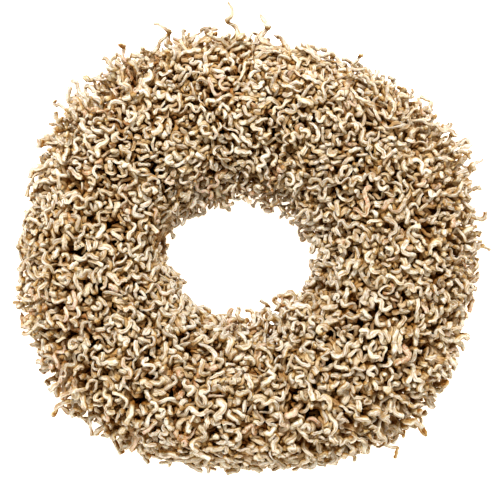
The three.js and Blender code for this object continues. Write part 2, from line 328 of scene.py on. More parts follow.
# %% Roots between the roots
STALK_SPACING = 8.3
SPACING_HEIGHT = 70
ROOT_GRID_JITTER = 0.32
CLEAR_OF_SOLID_ROOTS = 4.6
LOWEST_ROW = math.radians(-5)
HIGHEST_ROW = math.radians(177)
LOWER_THINNED = 0.16
FRONT_THINNED = 0.04
COARSENESS = (0.96, 1.15)
SEED = 20
rng = np.random.default_rng(SEED)


def lower_share(azimuth):
    """0 at the top of the wreath and 1 at its bottom: half of one less the angle's sine."""
    return (1 - np.sin(azimuth)) / 2


def coarseness(azimuth):
    """How coarse the stalks are beside the usual: finer at the top and coarser at the bottom."""
    return COARSENESS[0] + (COARSENESS[1] - COARSENESS[0]) * lower_share(azimuth)


def solid_roots():
    """Root, angle round the ring and angle over the section of each stalk of the solids."""
    root = np.array([bends[0] for bends in solid_stalks])
    azimuth, over, distance = ring_place(root)
    return root, azimuth, over


def fill_roots():
    """A grid of rows over the section with the same room for each stalk, shifted at random by a
    part of its step. Places beside a root of the solids are left out. So are a few more on the
    front, which leaves dark gaps, and some at the bottom, where stalks are coarser."""
    rows = round((HIGHEST_ROW - LOWEST_ROW) * SPACING_HEIGHT / STALK_SPACING)
    azimuths = []
    overs = []
    for row in range(rows):
        over = LOWEST_ROW + (HIGHEST_ROW - LOWEST_ROW) * (row + 0.5) / rows
        around = RING_RADIUS + SPACING_HEIGHT * math.cos(over)
        count = round(2 * math.pi * around / STALK_SPACING)
        steps = np.arange(count) + (row % 2) / 2 + rng.uniform(-1, 1, count) * ROOT_GRID_JITTER
        azimuths.append(steps / count * 2 * math.pi % (2 * math.pi))
        shift = rng.uniform(-1, 1, count) * ROOT_GRID_JITTER
        overs.append(over + shift * (HIGHEST_ROW - LOWEST_ROW) / rows)
    azimuth = np.concatenate(azimuths)
    over = np.concatenate(overs)
    along, out, across, heart = frame_at(azimuth, over)
    bed = ellipse(BED_SIDE, BED_FRONT, over)
    root = heart + bed[:, None] * out
    gap = np.linalg.norm(root[:, None] - solid_roots()[0], axis=-1).min(1)
    thinned = LOWER_THINNED * lower_share(azimuth) + FRONT_THINNED * np.clip(np.sin(over), 0, 1)
    keep = (gap > CLEAR_OF_SOLID_ROOTS) & (rng.random(len(gap)) > thinned)
    return azimuth[keep], over[keep]


fill_azimuth, fill_over = fill_roots()
print("stalks between:", len(fill_azimuth))

# %% [markdown]
# ## What is drawn for each stalk
#
# A stalk's line is a meander: its heading swings to and fro as it goes. If the heading swings in
# one plane the stalk is an S, and if it also swings across that plane the stalk is a curl. Most
# stalks on the front lie over and swing level, so that their bends show. Those at the rim stand
# out and are straighter, and a few of them stray past it, mostly at the top.
#
# The outline and the hole are a mean radius and a few cosine waves. Their sizes and phases come
# from measuring renders against the photograph's outline, so they fit this one wreath.

# %% Draws for each stalk
FILL_OUTLINE = (225.6, [(1, 1.2, -22), (2, 12.2, 2), (3, 3.2, -12), (4, 9.9, 132), (5, 1.9, 138),
                        (6, 3.5, 111)])
FILL_HOLE = (57, [(1, 11.8, 177), (2, 14.2, 1), (3, 3.6, -68), (4, 6.2, -68), (5, 4.2, 119)])
RIM_STEP = (1.5, 0.4)
LYING_SHARE = 0.68
RIM_LYING_LESS = 0.6
LYING_LENGTHS = (66, 90)
UPRIGHT_LENGTHS = (50, 64)
LYING_PLANE_SPREAD = 0.3
PLANE_TURN = 0.04
LYING_PLANE_TURN = 0.4
RIM_SHORTER = 0.25
RIM_CALMER = 0.35
SWING_RANGE = (1.05, 1.5)
WAVE_RANGE = (15, 23)
CURL_SHARE = 0.6
CURL_SWING = 0.85
CURL_WAVE_RANGE = (19, 29)
CURL_ROUNDNESS = (0.6, 1)
WAVE_ROUNDNESS = (0, 0.35)
DRIFT_RANGE = (0.2, 1.0)
DRIFT_WAVE_RANGE = (32, 50)
ROOT_SUNK = 5
REACH_SHARES = (0.66, 1.04)
RIM_SHARES = (0.76, 1.18)
REACH_LIMITS = (0.97, 1.11)
STRAY_SHARE = 0.1
STRAY_REACHES = (1.04, 1.16)
TOP_STRAY_SHARE = 0.3
TOP_STRAY_REACHES = (1.15, 1.6)
TOP_AZIMUTH = math.radians(100)
TOP_STEP = (1.6, 0.5)
STRAY_LIMITS = (1.06, 1.28)
STRAY_SWING = 0.75
STRAY_RIM = 0.7
HOOK_SHARE = 0.3
HOOK_RANGE = (-1.2, 1.2)


def rim_share(over):
    """0 on the front and 1 at the rim and in the hole: a slope times the cosine of the angle over
    the section, less a start, held between 0 and 1."""
    return np.clip(np.cos(over) * RIM_STEP[0] - RIM_STEP[1], 0, 1)


def part_way(first, second, share):
    """The first number where the share is 0, the second where it is 1, and parts of both between."""
    return first * (1 - share) + second * share


def fill_shapes(rim):
    """Draws each stalk's length, wave, turn and lean. The rim share makes stalks shorter, calmer
    and more upright."""
    count = len(fill_azimuth)
    curled = rng.random(count) < CURL_SHARE
    lying = rng.random(count) < LYING_SHARE * (1 - RIM_LYING_LESS * rim)
    length = np.where(lying, rng.uniform(*LYING_LENGTHS, count), rng.uniform(*UPRIGHT_LENGTHS, count))
    return {
        "length": length * (1 - RIM_SHORTER * rim),
        "swing": rng.uniform(*SWING_RANGE, count) * np.where(curled, CURL_SWING, 1) * (1 - RIM_CALMER * rim),
        "wave": coarseness(fill_azimuth) * np.where(curled, rng.uniform(*CURL_WAVE_RANGE, count),
                                                    rng.uniform(*WAVE_RANGE, count)),
        "phase": rng.uniform(0, 2 * math.pi, count),
        "drift": rng.uniform(*DRIFT_RANGE, count),
        "drift_wave": rng.uniform(*DRIFT_WAVE_RANGE, count),
        "drift_phase": rng.uniform(0, 2 * math.pi, count),
        "plane": np.where(lying, math.pi / 2 + LYING_PLANE_SPREAD * rng.normal(size=count),
                          rng.uniform(0, 2 * math.pi, count)),
        "plane_turn": rng.uniform(-PLANE_TURN, PLANE_TURN, count) * np.where(lying, LYING_PLANE_TURN, 1),
        "roundness": np.where(curled, rng.uniform(*CURL_ROUNDNESS, count),
                              rng.uniform(*WAVE_ROUNDNESS, count)) * rng.choice([-1, 1], count),
        "lean_turn": rng.uniform(0, 2 * math.pi, count),
        "hook": np.where(rng.random(count) < HOOK_SHARE, rng.uniform(*HOOK_RANGE, count), 0),
    }


def add_reaches(shape, rim):
    """Draws how far out each stalk has to reach, as a share of the way from the bed to the
    outline. Strays are longer and reach further, most of all at the top of the wreath."""
    count = len(fill_azimuth)
    shares = part_way(rng.uniform(*REACH_SHARES, count), rng.uniform(*RIM_SHARES, count), rim)
    top = np.clip(TOP_STEP[0] * np.cos(fill_azimuth - TOP_AZIMUTH) - TOP_STEP[1], 0, 1)
    chance = part_way(STRAY_SHARE, TOP_STRAY_SHARE, top)
    stray = (rng.random(count) < chance) & (rim > STRAY_RIM)
    stray_reach = part_way(rng.uniform(*STRAY_REACHES, count), rng.uniform(*TOP_STRAY_REACHES, count), top)
    shares = np.where(stray, stray_reach, shares)
    shape["length"] *= np.where(stray, 1 + RIM_SHORTER, 1)
    shape["swing"] *= np.where(stray, STRAY_SWING, 1)
    shape["limit"] = np.where(stray, part_way(*STRAY_LIMITS, top), rng.uniform(*REACH_LIMITS, count))
    bed = ellipse(BED_SIDE, BED_FRONT, fill_over)
    shape["reach"] = (tip_reach(fill_azimuth, fill_over, FILL_OUTLINE, FILL_HOLE) - bed) * shares
    shape["root"] = bed - ROOT_SUNK


shape = fill_shapes(rim_share(fill_over))
add_reaches(shape, rim_share(fill_over))
print("lengths in mm:", np.round(np.percentile(shape["length"], [5, 50, 95])))

# %% The meander of each stalk
LINE_STEPS = 28
LEAN_START = 0.12
LEAN_STRETCH = 0.5
HOOK_START = 0.72
HOOK_STRETCH = 0.28
STRAIGHT_ROOT = 22
SWING_GROWTH = 1.5
TILT_MOST = 2.0
TILT_STEPS = 9


def meanders(shape, tilt):
    """The lines for given tilts. The axis starts along out and goes over to the tilt by a smooth
    step, three squares less two cubes of the share of the way, and to a hook near its tip. The
    heading leaves the axis by the swing times the cosine of a wave in one plane, and by a share
    of the sine across it. A slow wave hurries and holds back the quick one. The line is the
    running sum of headings."""
    along, out, across, heart = frame_at(fill_azimuth, fill_over)
    share = (np.arange(LINE_STEPS) + 0.5) / LINE_STEPS
    length = shape["length"][:, None]
    gone = length * share
    hooked = np.clip((share - HOOK_START) / HOOK_STRETCH, 0, 1) * shape["hook"][:, None]
    part = np.clip((share - LEAN_START) / LEAN_STRETCH, 0, 1)
    leaning = (tilt[:, None] * (3 * part ** 2 - 2 * part ** 3) + hooked)[..., None]
    turn = shape["lean_turn"][:, None]
    sideways = np.cos(turn) * along + np.sin(turn) * across
    level = (-np.sin(turn) * along + np.cos(turn) * across)[:, None]
    axis = np.cos(leaning) * out[:, None] + np.sin(leaning) * sideways[:, None]
    upward = np.cos(leaning) * sideways[:, None] - np.sin(leaning) * out[:, None]
    plane = (shape["plane"][:, None] + shape["plane_turn"][:, None] * gone)[..., None]
    first = np.cos(plane) * upward + np.sin(plane) * level
    second = np.cos(plane) * level - np.sin(plane) * upward
    slow = 2 * math.pi * gone / shape["drift_wave"][:, None] + shape["drift_phase"][:, None]
    beat = (2 * math.pi * gone / shape["wave"][:, None] + shape["phase"][:, None]
            + shape["drift"][:, None] * np.sin(slow))
    swing = shape["swing"][:, None] * np.clip(gone / STRAIGHT_ROOT, 0, 1) ** SWING_GROWTH
    swing_first = swing * np.cos(beat)
    swing_second = swing * np.sin(beat) * shape["roundness"][:, None]
    angle = np.hypot(swing_first, swing_second)
    push = np.sinc(angle / math.pi)[..., None]
    heading = (np.cos(angle)[..., None] * axis
               + push * (swing_first[..., None] * first + swing_second[..., None] * second))
    steps = heading * (length / LINE_STEPS)[..., None]
    start = heart + shape["root"][:, None] * out
    return np.concatenate([start[:, None], start[:, None] + np.cumsum(steps, 1)], 1)


def tilt_to_reach(shape):
    """Halves the range of tilts again and again, until each stalk's furthest place along out is
    the reach it was given."""
    out = frame_at(fill_azimuth, fill_over)[1]
    low = np.zeros(len(fill_azimuth))
    high = np.full(len(fill_azimuth), TILT_MOST)
    for step in range(TILT_STEPS):
        tilt = (low + high) / 2
        lines = meanders(shape, tilt)
        reached = ((lines - lines[:, :1]) * out[:, None]).sum(-1).max(1) - ROOT_SUNK
        short = reached < shape["reach"]
        high = np.where(short, tilt, high)
        low = np.where(short, low, tilt)
    return (low + high) / 2


tilt = tilt_to_reach(shape)
fill_lines = meanders(shape, tilt)
print("median tilt in degrees:", round(math.degrees(np.median(tilt)), 1))

# %% Smooth lines through the solids' bends
def curve_through(points, place):
    """A Catmull-Rom curve: between two points it is a cubic that passes through both, with each
    point's direction taken from its two neighbours. The first and the last point only give a
    direction. Places count the points between them."""
    span = np.minimum(place.astype(int), points.shape[-2] - 4)
    t = (place - span)[:, None]
    before, first, second, after = (points[..., span + i, :] for i in range(4))
    return 0.5 * (2 * first + (second - before) * t
                  + (2 * before - 5 * first + 4 * second - after) * t ** 2
                  + (3 * first - before - 3 * second + after) * t ** 3)


def smooth_line(bends):
    """A curve through a stalk's bends, from a root that is sunk in the bed."""
    first = bends[1] - bends[0]
    root = bends[0] - first / np.linalg.norm(first) * ROOT_SUNK
    points = np.concatenate([[2 * root - bends[0]], [root], bends[1:], [2 * bends[-1] - bends[-2]]])
    return curve_through(points, np.linspace(0, len(points) - 3, LINE_STEPS + 1))


solid_lines = np.array([smooth_line(bends) for bends in solid_stalks])
print("length of the solids' stalks:",
      np.round(np.percentile(np.linalg.norm(np.diff(solid_lines, axis=1), axis=-1).sum(1), [5, 50, 95])))

# %% [markdown]
# ## Making room
#
# Lines drawn at random run through each other. Blender could push real bodies apart, but a plain
# rule is quicker: where two lines come closer than a stalk is thick, both move apart, and each
# stalk's moves are evened out along its length, so that it bends and isn't dented. The stalks of
# the solids stay where they are. Points that may touch are found by sorting all of them into
# small boxes. The rounds end before every pair has its room, so some stalks still run into each
# other by a millimetre or more.

# %% Pairs of points that are close
def close_pairs(points, reach):
    """Pairs of points closer than reach. Each point gets the key of its box, and the points of a
    box and of half the boxes round it are looked up in the sorted keys."""
    box = np.floor((points - points.min(0)) / reach).astype(np.int64) + 1
    size = box.max(0) + 2
    key = (box[:, 0] * size[1] + box[:, 1]) * size[2] + box[:, 2]
    order = np.argsort(key, kind="stable")
    ordered = key[order]
    shifts = [(x * size[1] + y) * size[2] + z for x in (-1, 0, 1) for y in (-1, 0, 1) for z in (-1, 0, 1)]
    firsts = []
    seconds = []
    for shift in [s for s in shifts if s >= 0]:
        start = np.searchsorted(ordered, ordered + shift, "left")
        end = np.searchsorted(ordered, ordered + shift, "right")
        if shift == 0:
            start = np.arange(len(ordered)) + 1
        count = np.maximum(end - start, 0)
        first = np.repeat(np.arange(len(ordered)), count)
        run = np.arange(count.sum()) - np.repeat(np.cumsum(count) - count, count)
        firsts.append(order[first])
        seconds.append(order[np.repeat(start, count) + run])
    first = np.concatenate(firsts)
    second = np.concatenate(seconds)
    near = ((points[first] - points[second]) ** 2).sum(-1) < reach * reach
    return first[near], second[near]


# %% Push crossing stalks apart
ROOM = 4.5
ROOM_ROUNDS = 60
PUSH = 0.5
SPREAD_ROOM = 8
SPREAD_ROUNDS = 20
SPREAD_PUSH = 0.1
SPREAD_MOST = 1.0
LEAST_DISTANCE = 0.01
OWN_GAP = 4
FIXED_POINTS = 3
FLOOR_CLEARANCE = 3.4


def held_inside(lines, shares):
    """Draws points that passed a share of the wreath's outline back to it, and lifts those under
    the floor's clearance to it."""
    azimuth, over, distance = ring_place(lines)
    limit = tip_reach(azimuth, over, FILL_OUTLINE, FILL_HOLE) * shares
    along, out, across, heart = frame_at(azimuth, over)
    lines = heart + out * np.minimum(distance, limit)[..., None]
    lines[..., 2] = np.maximum(lines[..., 2], FLOOR_CLEARANCE)
    return lines


def pushes(flat, first, second, held, room, share):
    """Moves for every point: a share of the missing room for both of a close pair, along the line
    between them, and twice that where one of the two is held."""
    between = flat[first] - flat[second]
    distance = np.linalg.norm(between, axis=-1, keepdims=True)
    push = share * (room - distance) * between / np.maximum(distance, LEAST_DISTANCE)
    push *= np.where(held[first] | held[second], 2, 1)[:, None]
    return np.stack([np.bincount(first, push[:, axis], len(flat))
                     - np.bincount(second, push[:, axis], len(flat)) for axis in range(3)], -1)


def make_room(lines, moving, limits):
    """Repeats: push close pairs apart, even the moves out over three points, and set each step of
    a line to its length again. The first rounds look further and tilt each stalk as a whole, by
    the mean of its moves, which spreads the stalks evenly and leaves their curls."""
    count, points = lines.shape[:2]
    owner = np.repeat(np.arange(count), points)
    index = np.tile(np.arange(points), count)
    lengths = np.linalg.norm(np.diff(lines, axis=1), axis=-1, keepdims=True)
    free = (moving[:, None] & (np.arange(points) >= FIXED_POINTS))[..., None]
    held = ~moving[owner]
    rising = (np.arange(points) / points)[:, None]
    for turn in range(SPREAD_ROUNDS + ROOM_ROUNDS):
        room, share = (SPREAD_ROOM, SPREAD_PUSH) if turn < SPREAD_ROUNDS else (ROOM, PUSH)
        flat = lines.reshape(-1, 3)
        first, second = close_pairs(flat, room)
        apart = (owner[first] != owner[second]) | (np.abs(index[first] - index[second]) >= OWN_GAP)
        first, second = first[apart], second[apart]
        move = pushes(flat, first, second, held, room, share)
        move = np.clip(move, -ROOM / 2, ROOM / 2).reshape(lines.shape)
        padded = np.concatenate([move[:, :1], move, move[:, -1:]], 1)
        move = (padded[:, :-2] + 2 * padded[:, 1:-1] + padded[:, 2:]) / 4
        if turn < SPREAD_ROUNDS:
            mean = (move * rising).mean(1, keepdims=True) * 2
            move = np.clip(mean, -SPREAD_MOST, SPREAD_MOST) * rising
        lines = lines + move * free
        for k in range(FIXED_POINTS, points):
            step = unit(lines[:, k] - lines[:, k - 1]) * lengths[:, k - 1]
            lines[:, k] = np.where(moving[:, None], lines[:, k - 1] + step, lines[:, k])
        lines = np.where(moving[:, None, None], held_inside(lines, limits[:, None]), lines)
    return lines, len(first)


solid_azimuth, solid_over = solid_roots()[1:]
all_lines = np.concatenate([solid_lines, fill_lines])
root_azimuth = np.concatenate([solid_azimuth, fill_azimuth])
root_over = np.concatenate([solid_over, fill_over])
is_fill = np.arange(len(all_lines)) >= len(solid_lines)
limits = np.concatenate([np.ones(len(solid_lines)), shape["limit"]])
all_lines, still_close = make_room(all_lines, is_fill, limits)
print("stalks:", len(all_lines), "point pairs still too close:", still_close)

# %% [markdown]
# ## From lines to stalks
#
# A strip of dried stalk is a flattened tube with a crease along one side, it narrows and swells a
# little, and it ends in a blunt, rounded cut. A curve with a bevel would give the tube, but not
# the crease and the crinkles. Here the section is carried along the line with as little twist as
# possible, then given a slow twist of its own. Six sides are enough at this size.

# %% Strips along the lines
SIDES = 6
RINGS = 26
RING_CROWDING = 0.58
HALF_WIDTH = (1.85, 3.0)
THICKNESS_SHARE = (0.5, 0.85)
CREASE_SIDE = 1
CREASE_RANGE = (0.3, 0.95)
RIM_WIDER = 0.1
TWIST_RANGE = 5.0
SWELL = 0.2
SWELL_LIMITS = (0.75, 1.4)
CRINKLE = 0.1
CRINKLE_LIMITS = (-2, 2)
KINK = 0.5
KINK_GROWTH = 4
TAPER_FROM = 0.9
TAPER_SHARES = (0.75, 1.05)
LOWEST_POINT = 0.3


def lines_at_rings(lines):
    """Places on the lines at the rings' shares of the length. A share is the ring's number over
    the last one's to a power below one, so the rings are closer together towards the tip."""
    share = (np.arange(RINGS) / (RINGS - 1)) ** RING_CROWDING
    ends = np.concatenate([2 * lines[:, :1] - lines[:, 1:2], lines, 2 * lines[:, -1:] - lines[:, -2:-1]], 1)
    return curve_through(ends, share * (lines.shape[1] - 1)), share


def carried_frames(centres, twist):
    """Each ring's heading is the difference of its neighbours. Its side is the last ring's side
    with the part along the heading taken off, and is then turned by the twist."""
    heading = unit(np.gradient(centres, axis=1))
    side = np.empty_like(heading)
    side[:, 0] = unit(np.cross(heading[:, 0], rng.normal(size=(len(centres), 3))))
    for k in range(1, centres.shape[1]):
        level = side[:, k - 1] - (side[:, k - 1] * heading[:, k]).sum(-1, keepdims=True) * heading[:, k]
        side[:, k] = unit(level)
    over = np.cross(heading, side)
    angle = (twist[:, None] * np.linspace(0, 1, centres.shape[1]))[..., None]
    return np.cos(angle) * side + np.sin(angle) * over, np.cos(angle) * over - np.sin(angle) * side


def section_turns():
    """The angle of each of a strip's sides round its section."""
    return 2 * math.pi * (np.arange(SIDES) + 0.5) / SIDES


def strip_points(centres, half_width, half_thick):
    """Ring points: centre plus side times half width times cosine, plus over times half thickness
    times sine. The point at a quarter turn is pushed in, which is the crease. Where the strip
    swells in width it thins, and the other way round. Towards its tip it narrows to a share of
    its own, with the square of the way, and a little noise crinkles it."""
    across = np.cos(section_turns())
    up = np.tile(np.sin(section_turns()), (len(centres), 1))
    up[:, CREASE_SIDE] *= rng.uniform(*CREASE_RANGE, len(centres))
    twist = rng.uniform(-TWIST_RANGE, TWIST_RANGE, len(centres))
    side, over = carried_frames(centres, twist)
    swell = rng.normal(size=(len(centres), RINGS + 1))
    swell = np.clip(1 + SWELL * (swell[:, 1:] + swell[:, :-1]) / math.sqrt(2), *SWELL_LIMITS)
    late = np.clip((ring_share - TAPER_FROM) / (1 - TAPER_FROM), 0, 1)
    taper = 1 - (1 - rng.uniform(*TAPER_SHARES, len(centres)))[:, None] * late ** 2
    crinkle = 1 + CRINKLE * np.clip(rng.normal(size=(len(centres), RINGS, SIDES)), *CRINKLE_LIMITS)[..., None]
    wide = (half_width[:, None] * swell * taper)[..., None, None]
    thick = (half_thick[:, None] / swell * taper)[..., None, None]
    return (centres[:, :, None] + crinkle * (wide * across[:, None] * side[:, :, None]
                                             + thick * up[:, None, :, None] * over[:, :, None]))


def kinked(centres):
    """Shifts each ring's centre by a little noise, the mean of two neighbours' so that it bends
    and doesn't break. The roots keep their place."""
    noise = rng.normal(size=(len(centres), RINGS + 1, 3))
    grown = np.clip(KINK_GROWTH * ring_share, 0, 1)[:, None]
    return centres + KINK * grown * (noise[:, 1:] + noise[:, :-1]) / 2


centres, ring_share = lines_at_rings(all_lines)
centres = kinked(centres)
half_width = rng.uniform(*HALF_WIDTH, len(centres)) * (1 + RIM_WIDER * rim_share(root_over))
half_width *= coarseness(root_azimuth)
half_thick = half_width * rng.uniform(*THICKNESS_SHARE, len(centres))
strips = strip_points(centres, half_width, half_thick)
strips[..., 2] = np.maximum(strips[..., 2], LOWEST_POINT)
print("strip points:", strips.shape)

# %% [markdown]
# ## Painted highlight and painted shade on the stalks
#
# The colours paint light and shade onto the stalks. Cream is a painted highlight on the crests that
# look out of the wreath towards the light. Golden and brown are painted shade on what lies deeper
# or under its neighbours. An ambient occlusion node could find the hidden places, but its rays would
# make each render slow and would be gone from an export. Here the light that reaches a place is
# estimated once from the lines and kept on the points.

# %% Depth, crests and the sky that a place sees
# The painted light's lean to the front: its share at the bottom of the wreath and at its top.
PAINTED_LIGHT_FRONT = (0.25, 1.6)
HIDING_REACH = 11
HIDING_NEAREST = 3.5
NEAR_SURFACE = 0.35
LEAST_OFFSET = 1e-6


def depth_under(points):
    """0 at the surface that tips reach and 1 at the root bed: the way in over the whole way."""
    azimuth, over, distance = ring_place(points)
    reach = tip_reach(azimuth, over)
    return np.clip((reach - distance) / (reach - ellipse(BED_SIDE, BED_FRONT, over)), 0, 1)


def painted_light_way(points):
    """The way of the light that is painted on a place: out of the section plus a share of the way
    to the front. The share grows from the bottom of the wreath, as it hangs, to its top, by
    amounts that were set against the photograph."""
    azimuth, over, distance = ring_place(points)
    front = PAINTED_LIGHT_FRONT[1] + (PAINTED_LIGHT_FRONT[0] - PAINTED_LIGHT_FRONT[1]) * lower_share(azimuth)
    return unit(frame_at(azimuth, over)[1] + front[..., None] * np.array([0, 0, 1]))


def crest_of(points, centre):
    """How far a point of a strip looks towards the painted light: the part of its offset from the
    strip's centre that goes the light's way. 1 is a crest and -1 an underside."""
    offset = points - centre
    offset /= np.maximum(np.linalg.norm(offset, axis=-1, keepdims=True), LEAST_OFFSET)
    return (offset * painted_light_way(points)).sum(-1)


def openness(centres, half_width):
    """How much sky each ring of a strip sees, which the colour uses to paint highlight and shade. A
    ring of another strip hides its length times its width, times the cosine from the painted light's
    way, over the square of its distance and pi. The open share is the exponential of minus the sum."""
    flat = centres.reshape(-1, 3)
    owner = np.repeat(np.arange(len(centres)), RINGS)
    length = np.linalg.norm(np.gradient(centres, axis=1), axis=-1).ravel()
    size = length * 2 * np.repeat(half_width, RINGS)
    way = painted_light_way(flat)
    first, second = close_pairs(flat, HIDING_REACH)
    other = owner[first] != owner[second]
    first, second = first[other], second[other]
    hidden = np.zeros(len(flat))
    for here, there in ((first, second), (second, first)):
        between = flat[there] - flat[here]
        distance = np.maximum(np.linalg.norm(between, axis=-1), HIDING_NEAREST)
        cosine = np.maximum((between * way[here]).sum(-1) / distance, 0)
        hidden += np.bincount(here, size[there] * cosine / (math.pi * distance ** 2), len(flat))
    return np.exp(-hidden).reshape(centres.shape[:2])


opens = openness(centres, half_width)
shallow = depth_under(centres) < NEAR_SURFACE
print("open share near the surface:", np.round(np.percentile(opens[shallow], [5, 25, 50, 75, 95]), 2))

# %% [markdown]
# ## Meshes and what they carry
#
# Every point keeps a few numbers that the material reads: how pale its stalk is, whether it is one
# of the few pink or rust ones, how deep the point sits, whether it is on a crest, how much sky it
# sees, how near it is to the strip's thin edge or its crease, and how far along the stalk it is.
# They are stored as attributes, so the colours stay on the stalk however it bends. Two folds along
# each strip are shaded sharp, as on a dried leaf, and the rest is smooth.

# %% One mesh from arrays
def build_piece(name, points, faces, corner_uv, attributes, materials, face_material, fold=None):
    """Puts arrays into a mesh in metres: points, faces as rows of point numbers, a UV pair for
    each face corner, and a number for each point and attribute. Points carry the number of the
    fold they lie on, or 0, and an edge between two points of one fold is shaded sharp."""
    mesh = bpy.data.meshes.new(name)
    mesh.from_pydata((points * MM).tolist(), [], faces)
    mesh.uv_layers.new(name="strip").data.foreach_set("uv", corner_uv.astype(np.float32).ravel())
    for label, values in attributes.items():
        layer = mesh.attributes.new(label, "FLOAT", "POINT")
        layer.data.foreach_set("value", values.astype(np.float32).ravel())
    for material in materials:
        mesh.materials.append(material)
    mesh.polygons.foreach_set("material_index", face_material.astype(np.int32))
    mesh.shade_smooth()
    mesh.update()
    if fold is not None:
        ends = np.empty(2 * len(mesh.edges), np.int32)
        mesh.edges.foreach_get("vertices", ends)
        first, second = fold[ends.reshape(-1, 2).T]
        sharp = mesh.attributes.new("sharp_edge", "BOOLEAN", "EDGE")
        sharp.data.foreach_set("value", (first == second) & (first > 0))
    piece = bpy.data.objects.new(name, mesh)
    bpy.context.scene.collection.objects.link(piece)
    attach(piece, "root")
    return piece


# %% Faces of the strips
UV_STEP = 0.1
UV_OFFSETS = 50
UV_ALONG_OFFSET = 7


def grid_quads(rows, following, size):
    """Quads between rows of points and the rows that follow them, where each row is a loop of
    the same size: a place, the next place, and both again on the following row."""
    place = np.arange(size)
    after = (place + 1) % size
    row = rows[:, None] * size
    next_row = following[:, None] * size
    return np.stack([row + place, row + after, next_row + after, next_row + place], -1).reshape(-1, 4)


def strip_faces(count):
    """Quads between neighbouring rings and a fan of triangles on each end, for many strips."""
    rings = np.arange(RINGS - 1)
    quads = grid_quads(rings, rings + 1, SIDES)
    side = np.arange(SIDES)
    after = (side + 1) % SIDES
    root = RINGS * SIDES
    last = root - SIDES
    fans = np.concatenate([np.stack([after, side, np.full(SIDES, root)], -1),
                           np.stack([last + side, last + after, np.full(SIDES, root + 1)], -1)])
    first = (np.arange(count) * (root + 2))[:, None, None]
    return (quads + first).reshape(-1, 4), (fans + first).reshape(-1, 3)


def grid_uv(across, along):
    """Both coordinates of each corner of a grid's quads, in their order: across at a place and the
    next, along at a row and the next."""
    row, place = np.indices((along.shape[-1] - 1, len(across) - 1)).reshape(2, -1)
    across = across[np.stack([place, place + 1, place + 1, place], -1)]
    along = along[..., np.stack([row, row, row + 1, row + 1], -1)]
    return np.stack(np.broadcast_arrays(across, along), -1)


def strip_uv(lengths, offsets):
    """Across the strip: the side's number over the number of sides, going on past the last side.
    Along it: length gone in centimetres. Both plus an offset, so that no two stalks match."""
    offsets = np.stack([offsets, UV_ALONG_OFFSET * offsets], -1)[:, None, None]
    along = lengths * UV_STEP
    quads = grid_uv(np.arange(SIDES + 1) / SIDES, along) + offsets
    side = np.arange(SIDES)
    across = np.tile(np.stack([side + 1, side, side + 0.5], -1) / SIDES, (2, 1))
    ends = np.repeat(along[:, [0, -1]], SIDES, 1)[..., None]
    fans = np.stack(np.broadcast_arrays(across, ends), -1) + offsets
    return quads.reshape(-1, 2), fans.reshape(-1, 2)


# %% [markdown]
# ## The root bed
#
# The stalks' lower ends are crowded together and glued to the form. Almost nothing of them is
# seen, only darkness with a few ends in it, so one rough shell round the form is enough. It is cut
# at the seams between the bunches.

# %% Shell of a bunch's root bed
BED_STEPS_ALONG = 20
BED_STEPS_OVER = 42
BED_ROUGHNESS = 1.3
BED_CLEARANCE = 0.4
SEAM_GAP = 0.0012


def form_reach(over):
    """The form's surface from the heart, with a clearance: a flat wall below the heart's height
    and a half ellipse above it."""
    wall = (FORM_HALF_WIDTH + BED_CLEARANCE) / np.cos(over)
    crown = ellipse(FORM_HALF_WIDTH + BED_CLEARANCE, FORM_CROWN + BED_CLEARANCE, over)
    return np.where(over < 0, wall, crown)


def bed_shell(bunch):
    """Outer points reach the bed's ellipse plus a random roughness, inner points the form plus
    its clearance. Both run over the section, and the loop they make is carried round the ring."""
    low = FIRST_SEAM + bunch * BUNCH_ANGLE + SEAM_GAP
    azimuth = np.linspace(low, low + BUNCH_ANGLE - 2 * SEAM_GAP, BED_STEPS_ALONG + 1)
    over = np.radians(np.linspace(OUTER_EDGE, INNER_EDGE, BED_STEPS_OVER + 1))
    rough = rng.uniform(-BED_ROUGHNESS, BED_ROUGHNESS, (len(azimuth), len(over)))
    outer = ellipse(BED_SIDE, BED_FRONT, over) + rough - BED_ROUGHNESS
    inner = np.broadcast_to(form_reach(over), outer.shape)
    loop_reach = np.concatenate([outer, inner[:, ::-1]], 1)
    loop_over = np.broadcast_to(np.concatenate([over, over[::-1]]), loop_reach.shape)
    along, out, across, heart = frame_at(np.broadcast_to(azimuth[:, None], loop_reach.shape), loop_over)
    points = (heart + loop_reach[..., None] * out).reshape(-1, 3)
    size = loop_reach.shape[1]
    steps = np.arange(BED_STEPS_ALONG)
    walls = grid_quads(steps, steps + 1, size)[:, [0, 3, 2, 1]]
    place = np.arange(len(over) - 1)
    cap = np.stack([place, place + 1, size - 2 - place, size - 1 - place], -1)
    far_cap = (cap + BED_STEPS_ALONG * size)[:, ::-1]
    return points, np.concatenate([walls, cap, far_cap])


# %% [markdown]
# ## Materials
#
# Dried stalk is dull and fibrous. It is tan, with cream painted on its crests as a highlight and
# brown painted at its thin edges and in its crease as shade. It is brown of its own where it is cut.
# Noise stretched along the strip gives the fibres. It is a node group, which all three dry materials
# use with their own values.

# %% Helpers for shader nodes
def linear(red, green, blue):
    """A colour as a painter picks it, from 0 to 255, turned into the linear light that the shader
    uses: the share, plus 0.055, over 1.055, to the power 2.4."""
    return tuple(((c / 255 + 0.055) / 1.055) ** 2.4 for c in (red, green, blue)) + (1.0,)


def feed(tree, socket, value):
    """Links a socket to a node's output, or sets it to a number or colour."""
    if isinstance(value, bpy.types.NodeSocket):
        tree.links.new(value, socket)
    else:
        socket.default_value = value


def add_node(tree, kind, settings=None, **inputs):
    """Adds a node, sets its properties, and sets or links its inputs by name."""
    node = tree.nodes.new(kind)
    for name, value in (settings or {}).items():
        setattr(node, name, value)
    for name, value in inputs.items():
        feed(tree, node.inputs[name.replace("_", " ")], value)
    return node


